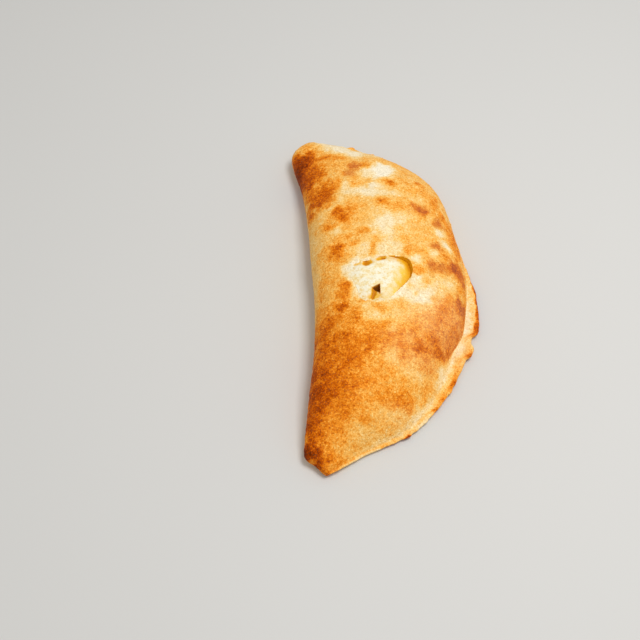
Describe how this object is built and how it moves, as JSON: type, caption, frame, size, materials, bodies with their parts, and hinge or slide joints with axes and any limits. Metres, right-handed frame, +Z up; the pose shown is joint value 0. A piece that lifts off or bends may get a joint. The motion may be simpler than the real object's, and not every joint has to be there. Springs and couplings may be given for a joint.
{
  "type": "calzone",
  "caption": "Baked half-moon calzone with a rolled fold, a pressed seam lip, a blunt nose, a pinched tip and a torn steam vent that shows melted cheese.",
  "frame": {"origin": "centre of the outline on the surface the calzone lies on", "axes": "+Y along the fold from the pinched tip to the blunt nose, +X from the fold towards the sealed edge, +Z up"},
  "size_m": [0.1188, 0.2614, 0.0367],
  "materials": {
    "baked_crust": "golden baked dough, toasted brown in patches, fine blistered skin with a faint oily sheen",
    "melted_cheese": "cream melted cheese, smooth and slightly oily, yellow where it has sunk"
  },
  "bodies": {
    "root": {"crust": "baked_crust", "filling": "melted_cheese"}
  },
  "joints": []
}
